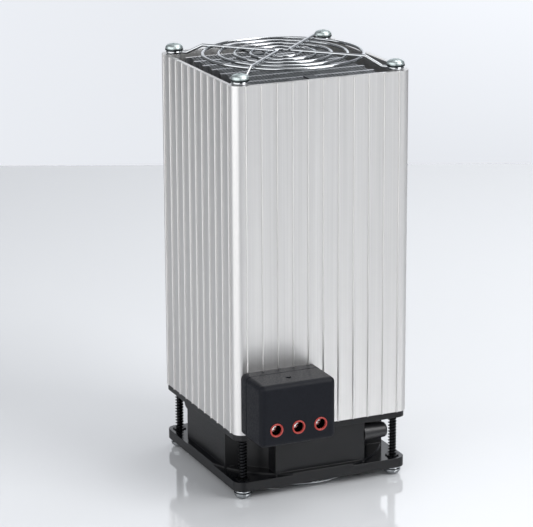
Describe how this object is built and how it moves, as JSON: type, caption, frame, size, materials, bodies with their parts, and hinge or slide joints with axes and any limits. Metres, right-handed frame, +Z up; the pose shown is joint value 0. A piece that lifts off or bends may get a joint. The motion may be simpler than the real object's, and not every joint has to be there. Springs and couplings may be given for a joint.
{
  "type": "enclosure fan heater",
  "caption": "Tall ribbed aluminium case standing on an axial fan, with a folded-fin heater pack inside, wire guards over both ends and a terminal box at its foot; warms a control cabinet.",
  "frame": {"origin": "middle of the footprint, at the crowns of the long screws' heads on which the heater stands", "axes": "+Z up along the fan's axis, front of the terminal box towards -Y"},
  "size_m": [0.1218, 0.1578, 0.2736],
  "materials": {
    "mill_aluminium": "extruded, mill finish with fine lengthwise streaks",
    "bar_aluminium": "drawn flat tube, bright",
    "fin_aluminium": "thin folded sheet, bright",
    "heating_ceramic": "dark fired ceramic with contact sheets",
    "black_heatproof_plastic": "moulded, matt",
    "spring_steel": "dark rolled strip",
    "brass": "stamped and machined",
    "black_box_plastic": "moulded, fine satin grain",
    "red_plastic": "moulded, satin gloss",
    "zinc_steel": "bright zinc plate",
    "black_cast_aluminium": "die cast with a semi-gloss black coat",
    "lamination_steel": "stacked sheet",
    "copper_winding": "enamelled winding wire",
    "black_blade_plastic": "moulded, matt",
    "rotor_steel": "drawn ring",
    "black_rubber": "moulded, matt",
    "chrome_wire": "bright chrome plate on steel wire",
    "black_steel_screw": "black coated thread under a bright head",
    "clip_plastic": "moulded, satin"
  },
  "bodies": {
    "heater": {"casing": "mill_aluminium", "heater_bar_1": "bar_aluminium", "heater_bar_2": "bar_aluminium", "heater_bar_3": "bar_aluminium", "heater_bar_4": "bar_aluminium", "heater_bar_5": "bar_aluminium", "heater_bar_6": "bar_aluminium", "heater_bar_7": "bar_aluminium", "heater_bar_8": "bar_aluminium", "heater_cores": "heating_ceramic", "fin_layer_1": "fin_aluminium", "fin_layer_2": "fin_aluminium", "fin_layer_3": "fin_aluminium", "fin_layer_4": "fin_aluminium", "fin_layer_5": "fin_aluminium", "fin_layer_6": "fin_aluminium", "fin_layer_7": "fin_aluminium", "end_frame_left": "black_heatproof_plastic", "end_frame_right": "black_heatproof_plastic", "pack_clips": "spring_steel", "bus_strip_live": "brass", "bus_strip_neutral": "brass", "earth_strap": "brass", "terminal_base": "black_box_plastic", "terminal_cover": "black_box_plastic", "terminal_collars": "red_plastic", "terminal_clamps": "brass", "clamp_screws": "zinc_steel", "terminal_fixings": "zinc_steel", "fan_housing": "black_cast_aluminium", "stator_core": "lamination_steel", "stator_windings": "copper_winding", "bearings": "zinc_steel", "lead_boots": "black_rubber", "top_guard": "chrome_wire", "bottom_guard": "chrome_wire", "top_screws": "zinc_steel", "top_washers": "zinc_steel", "bottom_screws": "black_steel_screw", "screw_retainers": "black_steel_screw", "rail_clip": "clip_plastic", "clip_screws": "zinc_steel"},
    "rotor": {"impeller": "black_blade_plastic", "rotor_ring": "rotor_steel", "fan_shaft": "zinc_steel", "shaft_clip": "spring_steel"}
  },
  "joints": [
    {"name": "impeller_spin", "type": "hinge", "parent": "heater", "child": "rotor", "pos_m": [0, 0.01148, 0.025], "axis": [0, 0, 1], "continuous": true}
  ]
}
